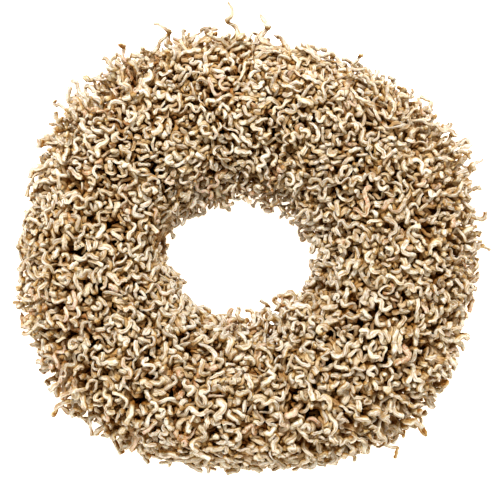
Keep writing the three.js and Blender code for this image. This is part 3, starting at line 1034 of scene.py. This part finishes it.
def blend(tree, factor, first, second, mode="MIX"):
    """A colour mix: the first colour where the factor is 0 and the second where it is 1."""
    node = add_node(tree, "ShaderNodeMix", {"data_type": "RGBA", "blend_type": mode})
    for place, value in ((0, factor), (6, first), (7, second)):
        feed(tree, node.inputs[place], value)
    return node.outputs[2]


def ramp(tree, value, low, high, to_low=0.0, to_high=1.0):
    """A smooth step from one value to another, held outside the two ends."""
    node = add_node(tree, "ShaderNodeMapRange", {"interpolation_type": "SMOOTHSTEP"}, Value=value,
                    From_Min=low, From_Max=high, To_Min=to_low, To_Max=to_high)
    return node.outputs["Result"]


def calculate(tree, operation, *values):
    """Arithmetic on values that vary over the surface: the first with the second, and what comes
    out with the next."""
    result = values[0]
    for value in values[1:]:
        node = add_node(tree, "ShaderNodeMath", {"operation": operation})
        feed(tree, node.inputs[0], result)
        feed(tree, node.inputs[1], value)
        result = node.outputs[0]
    return result


def point_value(tree, name):
    """Reads one of the numbers that the points carry."""
    return add_node(tree, "ShaderNodeAttribute", {"attribute_name": name}).outputs["Fac"]


# %% Dry fibre: streaks and blotches
STREAK_STRETCH = (9.0, 0.9, 1.0)
STREAK_ROUGHNESS = 0.6
STREAK_STEP = (0.4, 0.56)
BLOTCH_SCALE = 3.2
BLOTCH_STEP = (0.42, 0.58)
NOISE_DETAIL = 3.0
DRY_SHINE = 0.03


def dry_fibre_group():
    """Streaks are noise stretched along the strip, blotches are softer noise on the same map, and
    the height adds both for a bump."""
    tree = bpy.data.node_groups.new("dry_fibre", "ShaderNodeTree")
    tree.interface.new_socket("Map", in_out="INPUT", socket_type="NodeSocketVector")
    tree.interface.new_socket("Streak Scale", in_out="INPUT", socket_type="NodeSocketFloat")
    for name in ("Streaks", "Blotches", "Height"):
        tree.interface.new_socket(name, in_out="OUTPUT", socket_type="NodeSocketFloat")
    source = tree.nodes.new("NodeGroupInput")
    target = tree.nodes.new("NodeGroupOutput")
    stretched = add_node(tree, "ShaderNodeVectorMath", {"operation": "MULTIPLY"})
    feed(tree, stretched.inputs[0], source.outputs["Map"])
    feed(tree, stretched.inputs[1], STREAK_STRETCH)
    streaks = add_node(tree, "ShaderNodeTexNoise", Vector=stretched.outputs[0], Detail=NOISE_DETAIL,
                       Scale=source.outputs["Streak Scale"], Roughness=STREAK_ROUGHNESS).outputs["Fac"]
    blotches = add_node(tree, "ShaderNodeTexNoise", Vector=source.outputs["Map"], Detail=NOISE_DETAIL,
                        Scale=BLOTCH_SCALE).outputs["Fac"]
    feed(tree, target.inputs["Streaks"], ramp(tree, streaks, *STREAK_STEP))
    feed(tree, target.inputs["Blotches"], ramp(tree, blotches, *BLOTCH_STEP))
    feed(tree, target.inputs["Height"], calculate(tree, "ADD", streaks, blotches))
    return tree


dry_fibre = dry_fibre_group()


def start_material(name, map_output, streak_scale):
    """A new material with a Principled shader and the fibre group on a map."""
    material = bpy.data.materials.new(name)
    material.use_nodes = True
    tree = material.node_tree
    shader = tree.nodes["Principled BSDF"]
    if map_output == "UV":
        source = add_node(tree, "ShaderNodeUVMap", {"uv_map": "strip"}).outputs["UV"]
    else:
        source = add_node(tree, "ShaderNodeTexCoord").outputs["Object"]
    fibre = add_node(tree, "ShaderNodeGroup", {"node_tree": dry_fibre}, Map=source, Streak_Scale=streak_scale)
    return material, tree, shader, fibre.outputs


def finish_material(tree, shader, colour, roughness, height, bump):
    """Links colour, roughness and a bump to the shader, and takes most of its shine away. The
    bump is a pair of its strength and its depth in metres."""
    relief = add_node(tree, "ShaderNodeBump", Strength=bump[0], Distance=bump[1], Height=height)
    feed(tree, shader.inputs["Specular IOR Level"], DRY_SHINE)
    feed(tree, shader.inputs["Base Color"], colour)
    feed(tree, shader.inputs["Roughness"], roughness)
    feed(tree, shader.inputs["Normal"], relief.outputs["Normal"])


# %% [markdown]
# ## The stalk's colours
#
# A painter would lay a pale coat with a painted highlight, then glazes of painted shade: gold on
# the sides, brown under them and in the gaps. The material does the same. A mix lays a coat, and a
# multiplied colour is a glaze. Each step says for which range of a carried number it fades in, and
# how strong it gets. A little light goes through the thin strips, which warms their edges.

# %% Stalk: painted cream highlights, tan body, painted brown shade at edges, brown cut ends
# Cream is a painted highlight; golden and the browner glazes after it are painted shade. Brown is the stalk's
# own in its streaks and cut ends, and painted shade at its edges and crease.
HIGHLIGHT_CREAM = linear(232, 228, 218)
TAN = linear(217, 205, 176)
BROWN = linear(142, 103, 52)
GOLDEN_SIDE_SHADE = linear(229, 210, 171)
PINK = linear(220, 172, 150)
RUST = linear(190, 124, 74)
UNDER_SHADE = linear(216, 178, 125)
OCCLUSION_SHADE = linear(236, 205, 150)
SHADE = linear(108, 56, 16)
PALE_TONE = 0.75
PALE_BLOTCHES = 0.75
# The cream painted highlight fades in by crest, by depth and by open sky.
HIGHLIGHT_BY_CREST = (0.25, 0.65, 0.1, 1.0)
HIGHLIGHT_BY_DEPTH = (0.5, 0.05)
HIGHLIGHT_BY_SKY = (0.4, 0.9)
PINK_BY_TINT = (0.04, 0.02, 0.0, 0.6)
RUST_BY_TINT = (0.975, 0.985, 0.0, 0.7)
BROWN_STREAKS = 0.6
# Painted shade: brown at the thin edges and in the crease.
EDGE_SHADE_BY_EDGE = (0.5, 1.0, 0.0, 0.2)
CREASE_SHADE = 0.25
CUT_BY_SHARE = (0.97, 1.0)
CUT_BY_TINT = (0.55, 0.8, 0.0, 0.35)
# Glazes of painted shade: golden on the sides, browner under the strip and deeper in, darker where little sky
# is seen, near black in the deepest places.
SIDE_SHADE_BY_CREST = (0.5, 0.15, 0.0, 0.95)
UNDER_SHADE_BY_CREST = (0.1, -0.25, 0.0, 0.95)
UNDER_SHADE_BY_DEPTH = (0.1, 0.55)
OCCLUSION_SHADE_BY_SKY = (0.85, 0.35, 0.0, 0.95)
SHADE_BY_DEPTH = (0.3, 0.85, 0.0, 0.92)
ROUGHNESS_BY_STREAKS = (0.0, 1.0, 0.82, 0.62)
STALK_BUMP = (0.9, 0.0018)
GLOW_THROUGH = 0.14
GLOW_REACH = 0.002
GLOW_COLOUR_REACH = (1.0, 0.55, 0.3)


def stalk_material():
    """Tan turns to cream, a painted highlight, by tone plus blotches where a crest faces the light.
    A few stalks get pink or rust blotches. Streaks and cut ends mix in the stalk's own brown; thin
    edges and the crease mix in brown as painted shade. Sides are glazed golden, undersides and depths
    browner, places with little sky darker, and the deepest ones turn to shade, all as painted shade."""
    material, tree, shader, fibre = start_material("dried_stalk", "UV", 1.0)
    names = ("tone", "tint", "depth", "crest", "open", "edge", "crease", "share")
    tone, tint, depth, crest, sky, edge, crease, share = (point_value(tree, name) for name in names)
    streaks = fibre["Streaks"]
    blotches = fibre["Blotches"]
    pale = calculate(tree, "ADD", calculate(tree, "MULTIPLY", tone, PALE_TONE),
                     calculate(tree, "MULTIPLY", blotches, PALE_BLOTCHES))
    # Painted highlight: cream over the tan where a crest faces the light, lies near the surface and sees sky,
    # as far as the stalk is pale.
    painted_highlight = calculate(tree, "MULTIPLY", pale, ramp(tree, crest, *HIGHLIGHT_BY_CREST),
                         ramp(tree, depth, *HIGHLIGHT_BY_DEPTH), ramp(tree, sky, *HIGHLIGHT_BY_SKY))
    colour = blend(tree, painted_highlight, TAN, HIGHLIGHT_CREAM)
    for step, tinted in ((PINK_BY_TINT, PINK), (RUST_BY_TINT, RUST)):
        spots = calculate(tree, "MULTIPLY", ramp(tree, tint, *step), blotches)
        colour = blend(tree, spots, colour, tinted)
    # The streaks are the stalk's own brown grain; brown at the thin edges and in the crease is painted shade.
    lines = calculate(tree, "MULTIPLY", calculate(tree, "SUBTRACT", 1.0, streaks), BROWN_STREAKS)
    grain_and_edge_shade = calculate(tree, "ADD", lines, ramp(tree, edge, *EDGE_SHADE_BY_EDGE),
                        calculate(tree, "MULTIPLY", crease, CREASE_SHADE))
    cut = calculate(tree, "MULTIPLY", ramp(tree, share, *CUT_BY_SHARE), ramp(tree, tint, *CUT_BY_TINT))
    for factor in (grain_and_edge_shade, cut):
        colour = blend(tree, factor, colour, BROWN)
    # Glazes of painted shade: golden on the sides, browner on undersides and deeper in, darker where little
    # sky is seen.
    under = ramp(tree, crest, *UNDER_SHADE_BY_CREST)
    inside = ramp(tree, depth, *UNDER_SHADE_BY_DEPTH)
    for factor, glaze in ((ramp(tree, crest, *SIDE_SHADE_BY_CREST), GOLDEN_SIDE_SHADE),
                          (calculate(tree, "MAXIMUM", under, inside), UNDER_SHADE),
                          (ramp(tree, sky, *OCCLUSION_SHADE_BY_SKY), OCCLUSION_SHADE)):
        colour = blend(tree, factor, colour, glaze, "MULTIPLY")
    # Painted shade: the deepest places go near black.
    colour = blend(tree, ramp(tree, depth, *SHADE_BY_DEPTH), colour, SHADE)
    roughness = ramp(tree, streaks, *ROUGHNESS_BY_STREAKS)
    finish_material(tree, shader, colour, roughness, fibre["Height"], STALK_BUMP)
    for name, value in (("Weight", GLOW_THROUGH), ("Scale", GLOW_REACH), ("Radius", GLOW_COLOUR_REACH)):
        shader.inputs[f"Subsurface {name}"].default_value = value
    return material


# %% Root bed and form
# Painted shade: the root bed's two dark browns stand for the darkness among crowded roots, and the darker one
# shades the form's hollows.
DEEP_SHADE_DARK = linear(34, 15, 6)
DEEP_SHADE_LESS_DARK = linear(70, 40, 20)
STRAW_DARK = linear(58, 40, 24)
STRAW_LIGHT = linear(126, 96, 62)
BED_STREAK_SCALE = 60.0
BED_ROUGHNESS_BY_STREAKS = (0.0, 1.0, 0.95, 0.8)
BED_BUMP = (0.5, 0.001)
STRAW_STREAK_SCALE = 0.7
STRAW_ROUGHNESS_BY_BLOTCHES = (0.0, 1.0, 0.9, 0.7)
STRAW_BUMP = (0.4, 0.0008)
SHADE_BY_HOLLOW = (0.3, 1.0, 0.0, 0.7)


def bed_material():
    """Blotches times streaks choose between two dark browns, painted shade among the crowded roots."""
    material, tree, shader, fibre = start_material("root_bed", "Object", BED_STREAK_SCALE)
    light = calculate(tree, "MULTIPLY", fibre["Blotches"], fibre["Streaks"])
    colour = blend(tree, light, DEEP_SHADE_DARK, DEEP_SHADE_LESS_DARK)
    roughness = ramp(tree, fibre["Streaks"], *BED_ROUGHNESS_BY_STREAKS)
    finish_material(tree, shader, colour, roughness, fibre["Height"], BED_BUMP)
    return material


def form_material():
    """Pressed straw: long streaks between a dark and a lighter brown, with painted shade in the hollows."""
    material, tree, shader, fibre = start_material("pressed_straw", "UV", STRAW_STREAK_SCALE)
    colour = blend(tree, fibre["Streaks"], STRAW_DARK, STRAW_LIGHT)
    # Painted shade in the hollows between the straws.
    colour = blend(tree, ramp(tree, point_value(tree, "hollow"), *SHADE_BY_HOLLOW), colour, DEEP_SHADE_DARK)
    roughness = ramp(tree, fibre["Blotches"], *STRAW_ROUGHNESS_BY_BLOTCHES)
    finish_material(tree, shader, colour, roughness, fibre["Height"], STRAW_BUMP)
    return material


stalk_finish = stalk_material()
bed_finish = bed_material()
form_finish = form_material()
print("materials:", [m.name for m in (stalk_finish, bed_finish, form_finish)])

# %% [markdown]
# ## Twelve bunches
#
# The solids divide the stalks into twelve bunches round the ring. Each bunch here takes the place
# of its solid, with the stalks that are rooted between its two seams and its part of the root bed.

# %% Bunches of stalks on their beds
FOLDS = np.array([1, 0, 2, 0, 0, 0])
TONE_SHARES = (0.8, 0.2)
TIP_ROUNDING = 0.35
BED_VALUES = {"tone": 0.5, "tint": 0.5, "depth": 1.0}


def tone_of(count):
    """Most stalks are middling, some pale, some dark: shares of two random numbers added."""
    return TONE_SHARES[0] * rng.random(count) + TONE_SHARES[1] * rng.random(count)


def end_middles(lines):
    """The middles of each stalk's two ends. The tip's stands out a little along the heading of
    the last ring, which rounds the cut."""
    ends = lines[:, [0, -1]]
    ends[:, 1] += unit(lines[:, -1] - lines[:, -2]) * TIP_ROUNDING
    return ends


def carried_numbers(chosen, stalk_points):
    """The numbers of each point of the chosen stalks: those of the stalk repeated for its points,
    those of a ring for its sides, those of a side for its rings."""
    count, per_stalk = stalk_points.shape[:2]
    two = np.zeros((count, 2))
    sky = opens[chosen]
    crest = crest_of(strips[chosen], centres[chosen][:, :, None]).reshape(count, -1)
    edge = np.append(np.tile(np.abs(np.cos(section_turns())), RINGS), [0, 0])
    crease = np.append(np.tile(np.arange(SIDES) == CREASE_SIDE, RINGS), [0, 0])
    share = np.append(np.repeat(ring_share, SIDES), [0, 1])
    return {
        "tone": np.repeat(tone_of(count), per_stalk),
        "tint": np.repeat(rng.random(count), per_stalk),
        "depth": depth_under(stalk_points),
        "open": np.concatenate([np.repeat(sky, SIDES, 1), sky[:, [0, -1]]], 1),
        "crest": np.concatenate([crest, two], 1),
        "edge": np.tile(edge, count),
        "crease": np.tile(crease, count),
        "share": np.tile(share, count),
        "fold": np.tile(np.append(np.tile(FOLDS, RINGS), [0, 0]), count),
    }


def bunch_piece(bunch, chosen):
    """Joins the chosen strips and the bunch's bed shell in one piece."""
    bed_points, bed_quads = bed_shell(bunch)
    count = chosen.sum()
    stalk_points = np.concatenate([strips[chosen].reshape(count, -1, 3), end_middles(centres[chosen])], 1)
    carried = carried_numbers(chosen, stalk_points)
    for label, values in carried.items():
        bed_values = np.full(len(bed_points), BED_VALUES.get(label, 0.0))
        carried[label] = np.concatenate([values.ravel(), bed_values])
    fold = carried.pop("fold")
    lengths = np.linalg.norm(np.diff(centres[chosen], axis=1), axis=-1)
    lengths = np.concatenate([np.zeros((count, 1)), np.cumsum(lengths, 1)], 1)
    quads, fans = strip_faces(count)
    quad_uv, fan_uv = strip_uv(lengths, rng.uniform(0, UV_OFFSETS, count))
    first = stalk_points.shape[0] * stalk_points.shape[1]
    faces = quads.tolist() + fans.tolist() + (bed_quads + first).tolist()
    uv = np.concatenate([quad_uv, fan_uv, np.zeros((bed_quads.size, 2))])
    face_material = np.repeat([0, 1], [len(quads) + len(fans), len(bed_quads)])
    piece = build_piece(f"stalks_{bunch + 1:02d}", np.concatenate([stalk_points.reshape(-1, 3), bed_points]),
                        faces, uv, carried, [stalk_finish, bed_finish], face_material, fold)
    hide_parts(f"stalk_bunch_{bunch + 1:02d}")
    return piece


bunch_of = np.floor(((root_azimuth - FIRST_SEAM) % (2 * math.pi)) / BUNCH_ANGLE).astype(int)
bunches = [bunch_piece(bunch, bunch_of == bunch) for bunch in range(BUNCHES)]
triangles = [sum(len(face.vertices) - 2 for face in piece.data.polygons) for piece in bunches]
print("triangles a bunch:", triangles, "in all:", sum(triangles))

# %% [markdown]
# ## The form
#
# Pressed straw is seen on the back and a little in the hole. Its straws lie along the ring, so the
# relief is a row of narrow ridges across the section that wander as they go round. The back stays
# flat, because the wreath lies on it: ridges there stop at the plane and only the grooves go in.

# %% Half-round form with straw relief
FORM_STEPS_ROUND = 200
CROWN_STEPS = 59
SECTION_STEP = 0.75
INWARD_TO = FORM_WALL + 6
STRAW_WIDTH = 2.6
STRAW_DEPTH = 0.8
STRAW_SHARPNESS = 0.6
WANDERS = [(3, 0.9, 0.4), (7, 0.5, 2.1), (16, 0.3, 4.0), (31, 0.18, 1.3)]
WANDER_SLANT = 0.05


def form_section():
    """Points round the section, a step apart: the back, the outer wall, the crown and the inner
    wall, each with the direction in which its relief goes in."""
    back = np.arange(-FORM_HALF_WIDTH, FORM_HALF_WIDTH, SECTION_STEP)
    wall = np.arange(0, FORM_WALL, SECTION_STEP)
    turn = np.linspace(0, math.pi, CROWN_STEPS + 1)[:-1]
    aside = np.concatenate([back, np.full(len(wall), FORM_HALF_WIDTH), FORM_HALF_WIDTH * np.cos(turn),
                            np.full(len(wall), -FORM_HALF_WIDTH)])
    height = np.concatenate([np.zeros(len(back)), wall, FORM_WALL + FORM_CROWN * np.sin(turn),
                             FORM_WALL - wall])
    inward = np.stack([-aside, INWARD_TO - height], -1)
    inward[:len(back)] = (0, 1)
    return aside, height, unit(inward)


def form_piece():
    """Relief goes in by the straw depth times one minus the ridge, where the ridge is a power of
    the size of a sine across the straws, whose phase wanders by a few waves round the ring."""
    aside, height, inward = form_section()
    gone = np.concatenate([[0], np.cumsum(np.hypot(np.diff(aside), np.diff(height)))])
    azimuth = np.arange(FORM_STEPS_ROUND) / FORM_STEPS_ROUND * 2 * math.pi
    wander = sum(size * np.sin(waves * azimuth[:, None] + phase + gone * WANDER_SLANT * waves)
                 for waves, size, phase in WANDERS)
    whole = round((gone[-1] + SECTION_STEP) / STRAW_WIDTH)
    straws = gone / (gone[-1] + SECTION_STEP) * whole
    ridge = np.abs(np.sin(math.pi * (straws + wander))) ** STRAW_SHARPNESS
    hollow = 1 - ridge
    shift = hollow * STRAW_DEPTH
    around = RING_RADIUS + aside + shift * inward[:, 0]
    up = height + shift * inward[:, 1]
    points = np.stack([around * np.cos(azimuth[:, None]) + RING_MIDDLE[0],
                       around * np.sin(azimuth[:, None]) + RING_MIDDLE[1], up], -1)
    steps = np.arange(FORM_STEPS_ROUND)
    faces = grid_quads(steps, (steps + 1) % FORM_STEPS_ROUND, len(aside))
    round_step = 2 * math.pi * RING_RADIUS / FORM_STEPS_ROUND * UV_STEP
    uv = grid_uv(np.append(gone, gone[-1] + SECTION_STEP) * UV_STEP,
                 np.arange(FORM_STEPS_ROUND + 1) * round_step).reshape(-1, 2)
    piece = build_piece("straw_form", points.reshape(-1, 3), faces.tolist(), uv,
                        {"hollow": hollow.ravel()}, [form_finish], np.zeros(len(faces)))
    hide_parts("ring_form")
    return piece


straw_form = form_piece()
print("form faces:", len(straw_form.data.polygons))

# %% [markdown]
# ## Floor, light and camera
#
# The wreath lies on its back on a pale floor. One small light comes from its top side, and the sky
# fills the shadows. In a photographer's room light goes to and fro between pale things and comes
# back warm from the wreath. Cycles could follow every bounce, but that is slow. Here the sky is
# warm, and the floor gives off warm light of its own, somewhat more than the sky. Both strengths
# were set against the photograph's colours. The camera looks straight down from a metre and a
# half, a little above the ring's middle, as in the photograph.

# %% Floor and light
FLOOR_HALF = 3.0
FLOOR_PALE = linear(250, 250, 250)
FLOOR_PALER = linear(253, 253, 253)
FLOOR_MOTTLE_SCALE = 3.0
FLOOR_ROUGHNESS = 0.9
FLOOR_GLOW = 1.2
FLOOR_GLOW_COLOUR = (1.0, 0.89, 0.74, 1.0)
SKY_STRENGTH = 1.04
SKY_COLOUR = (1.0, 0.93, 0.8, 1.0)
KEY_POWER = 61.0
KEY_SIZE = 0.2
KEY_PLACE = (-0.15, 1.15, 2.0)
KEY_TARGET = (0, 0, 0.05)


def pale_floor():
    """A square at height zero, near white, with a faint mottle and a warm glow."""
    mesh = bpy.data.meshes.new("floor")
    corners = [(x, y, 0.0) for x, y in ((-1, -1), (1, -1), (1, 1), (-1, 1))]
    mesh.from_pydata([(x * FLOOR_HALF, y * FLOOR_HALF, z) for x, y, z in corners], [], [(0, 1, 2, 3)])
    floor = bpy.data.objects.new("floor", mesh)
    bpy.context.scene.collection.objects.link(floor)
    material = bpy.data.materials.new("pale_floor")
    material.use_nodes = True
    tree = material.node_tree
    place = add_node(tree, "ShaderNodeTexCoord").outputs["Object"]
    mottle = add_node(tree, "ShaderNodeTexNoise", Vector=place, Scale=FLOOR_MOTTLE_SCALE).outputs["Fac"]
    for name, value in (("Base Color", blend(tree, mottle, FLOOR_PALE, FLOOR_PALER)),
                        ("Roughness", FLOOR_ROUGHNESS), ("Emission Color", FLOOR_GLOW_COLOUR),
                        ("Emission Strength", FLOOR_GLOW)):
        feed(tree, tree.nodes["Principled BSDF"].inputs[name], value)
    mesh.materials.append(material)


def aim(thing, target):
    """Turns a light or camera so that it looks at a place."""
    way = thing.location - target
    thing.rotation_euler = way.to_track_quat("Z", "Y").to_euler()


def small_light():
    """A small square area light over the top side of the wreath."""
    data = bpy.data.lights.new("soft_key", "AREA")
    data.energy = KEY_POWER
    data.size = KEY_SIZE
    key = bpy.data.objects.new("soft_key", data)
    key.location = KEY_PLACE
    aim(key, type(key.location)(KEY_TARGET))
    bpy.context.scene.collection.objects.link(key)


def sky_light():
    """An even, warm sky, as light is that has been to and fro in a room."""
    world = bpy.data.worlds.new("studio")
    world.use_nodes = True
    sky = world.node_tree.nodes["Background"]
    sky.inputs["Color"].default_value = SKY_COLOUR
    sky.inputs["Strength"].default_value = SKY_STRENGTH
    bpy.context.scene.world = world


pale_floor()
small_light()
sky_light()
bpy.context.scene.view_settings.view_transform = "Standard"

# %% Camera
CAMERA_HEIGHT = 1500
UNIT_PLANE = 10
SENSOR = 36
FRAME_WIDTH = 500
CAMERA_ASIDE = (2.1, 6.8)


def down_camera():
    """Looks down -Z. The lens is the sensor times the height over the width that fills the frame."""
    data = bpy.data.cameras.new("camera")
    data.sensor_width = SENSOR
    data.lens = SENSOR * CAMERA_HEIGHT / FRAME_WIDTH
    camera = bpy.data.objects.new("camera", data)
    camera.location = ((RING_MIDDLE[0] + CAMERA_ASIDE[0]) * MM, (RING_MIDDLE[1] + CAMERA_ASIDE[1]) * MM,
                       (CAMERA_HEIGHT + UNIT_PLANE) * MM)
    bpy.context.scene.collection.objects.link(camera)
    bpy.context.scene.camera = camera
    return camera


camera = down_camera()
print("lens in mm:", camera.data.lens)
